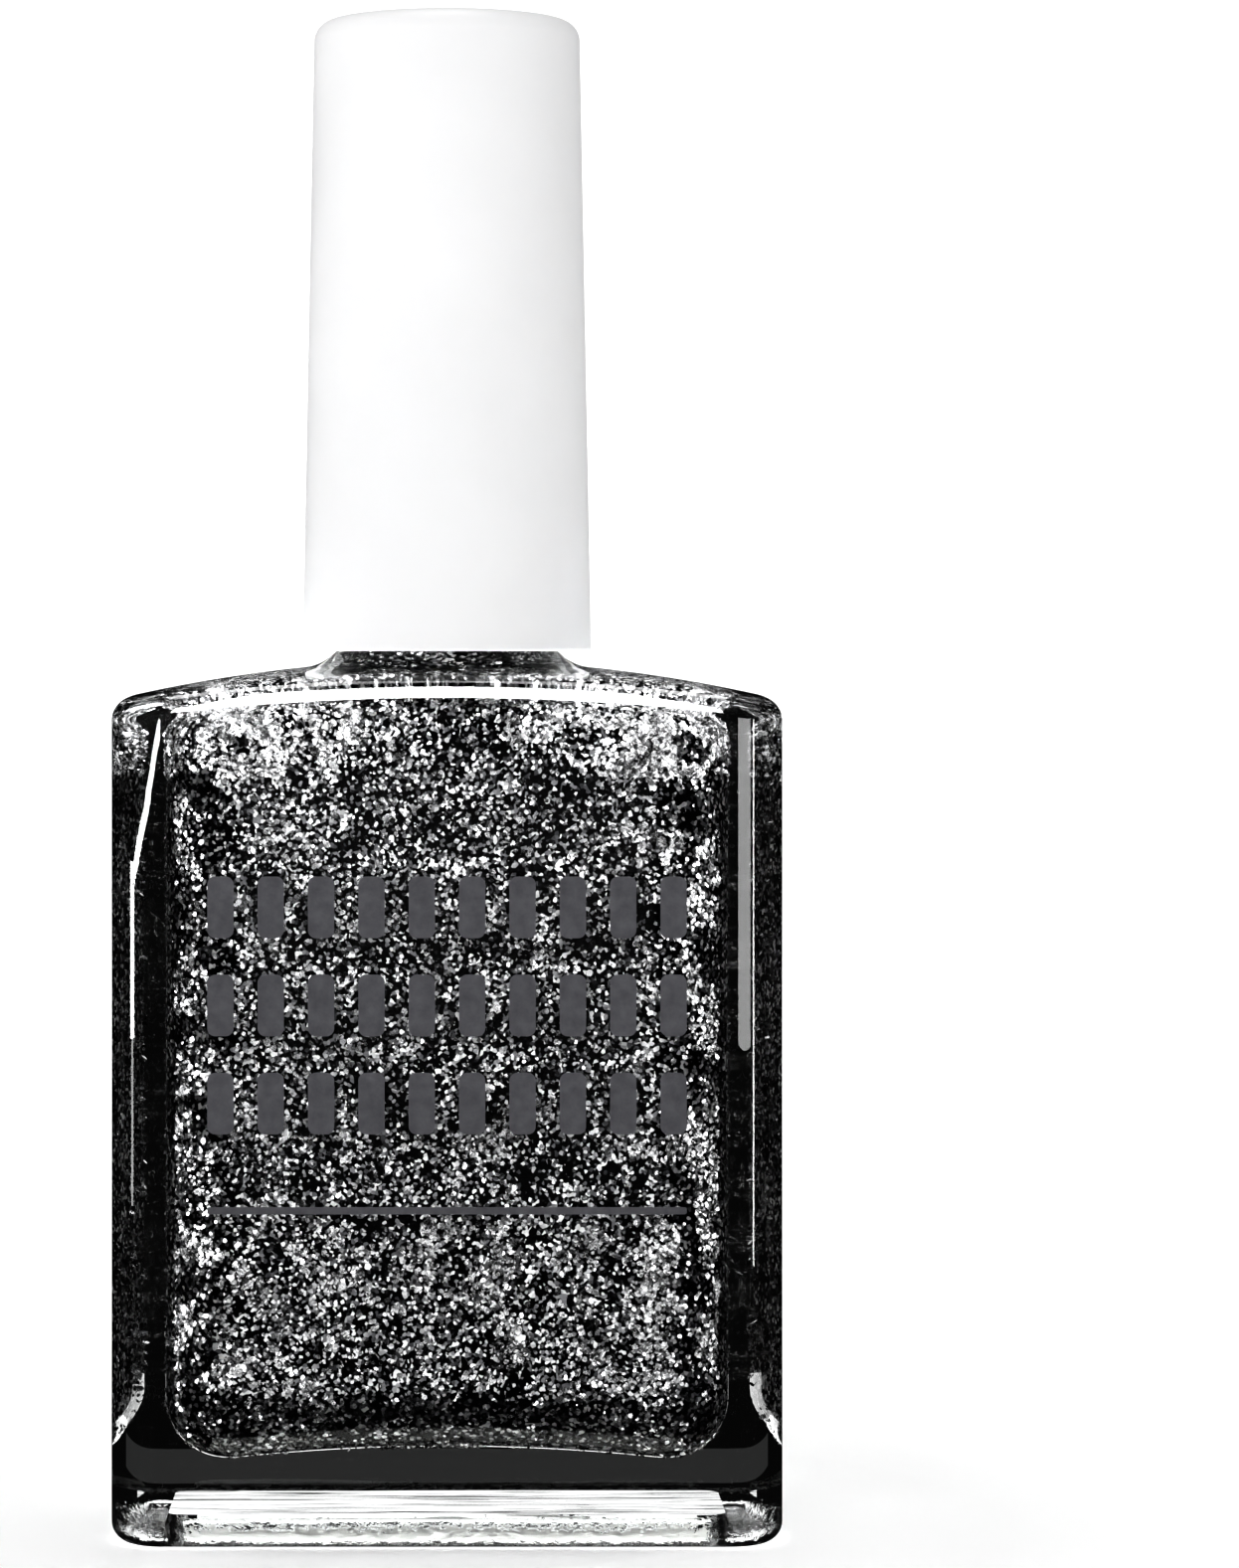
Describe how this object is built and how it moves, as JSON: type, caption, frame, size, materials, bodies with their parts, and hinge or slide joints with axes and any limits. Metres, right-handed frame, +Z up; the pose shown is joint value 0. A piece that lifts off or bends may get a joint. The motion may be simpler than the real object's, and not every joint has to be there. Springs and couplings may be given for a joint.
{
  "type": "nail polish bottle",
  "caption": "Flat rectangular glass bottle of glitter nail polish with a domed shoulder and a tall tapered white overcap that carries the brush.",
  "frame": {"origin": "middle of the base, in the plane that the bottle stands on and on the neck's axis", "axes": "+X across the wide front face, to the right of someone facing it; +Y through the depth, from the front face to the back; +Z up along the neck"},
  "size_m": [0.0374, 0.019, 0.0853],
  "materials": {
    "clear_glass": "clear, polished",
    "glitter_polish": "black lacquer dense with silver-white glitter flakes",
    "ball_steel": "polished",
    "label_paper": "matte, blank",
    "white_plastic": "satin white",
    "inner_white_plastic": "matte white",
    "washer_foam": "foamed, matte",
    "natural_plastic": "natural, semi-gloss",
    "staple_brass": "bright",
    "black_nylon": "satin bristles"
  },
  "bodies": {
    "bottle": {"glass_bottle": "clear_glass", "nail_polish": "glitter_polish", "base_label": "label_paper"},
    "seal": {"sealing_washer": "washer_foam"},
    "closure": {"overcap": "white_plastic", "inner_cap": "inner_white_plastic", "brush_stem": "natural_plastic", "brush_staple": "staple_brass", "bristle_tuft": "black_nylon"},
    "ball_left": {"mixing_ball_left": "ball_steel"},
    "ball_right": {"mixing_ball_right": "ball_steel"}
  },
  "joints": [
    {"name": "closure_lift", "type": "slide", "parent": "bottle", "child": "seal", "axis": [0, 0, 1], "range_m": [0, 0.058]},
    {"name": "closure_twist", "type": "hinge", "parent": "seal", "child": "closure", "pos_m": [0, 0, 0.0608], "axis": [0, 0, 1], "range_deg": [0, 540]},
    {"name": "ball_left_roll", "type": "slide", "parent": "bottle", "child": "ball_left", "axis": [0.9968, 0, 0.0795], "range_m": [0, 0.006], "deforming": ["nail_polish"]},
    {"name": "ball_right_roll", "type": "slide", "parent": "bottle", "child": "ball_right", "axis": [-0.9968, 0, 0.0795], "range_m": [0, 0.006], "deforming": ["nail_polish"]}
  ]
}
